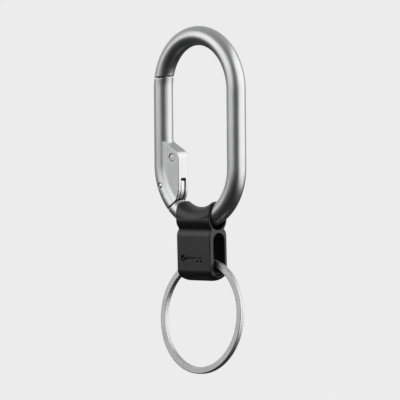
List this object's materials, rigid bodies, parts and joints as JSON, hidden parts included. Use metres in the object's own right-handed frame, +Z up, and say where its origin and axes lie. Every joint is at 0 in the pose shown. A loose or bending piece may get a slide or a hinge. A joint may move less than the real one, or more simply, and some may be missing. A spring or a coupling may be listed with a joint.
{
  "type": "key organiser",
  "caption": "Oval spring-gate clip with a moulded rubber hanger that slides on its lower bend and carries a flat split key ring.",
  "frame": {"origin": "the point the clip hangs from: the middle of the oval's inner top edge, midway through its thickness", "axes": "+Z up along the hanging object, +X across the oval away from the gate, -Y towards the face with the mark"},
  "size_m": [0.0369, 0.0077, 0.0993],
  "materials": {
    "satin_steel": "bead-blasted satin",
    "pin_steel": "fine turned",
    "ring_steel": "flat ground, lightly polished",
    "black_rubber": "matte moulded"
  },
  "bodies": {
    "frame": {"frame": "satin_steel"},
    "gate": {"gate": "satin_steel", "hinge_pin": "pin_steel", "spring_seat_pin": "satin_steel", "gate_spring": "pin_steel"},
    "follower": {"spring_follower": "pin_steel"},
    "strap": {"strap": "black_rubber"},
    "ring": {"key_ring": "ring_steel"}
  },
  "joints": [
    {"name": "gate_hinge", "type": "hinge", "parent": "frame", "child": "gate", "pos_m": [-0.01412, 0, -0.04052], "axis": [0, 1, 0], "range_deg": [0, 20], "stiffness_Nm_per_rad": 0.15, "springref_deg": -17.19},
    {"name": "follower_slide", "type": "slide", "parent": "gate", "child": "follower", "axis": [0, 0, 1], "range_m": [0, 0.00034], "deforming": ["gate_spring"]},
    {"name": "strap_slide", "type": "hinge", "parent": "frame", "child": "strap", "pos_m": [0, 0, -0.0345], "axis": [0, 1, 0], "range_deg": [-58, 4]},
    {"name": "ring_swing", "type": "hinge", "parent": "strap", "child": "ring", "pos_m": [0, 0, -0.0636], "axis": [1, 0, 0], "range_deg": [-12, 24]}
  ],
  "couplings": [
    {"joint": "follower_slide", "follows": "gate_hinge", "m_per_rad": 0.000885}
  ]
}
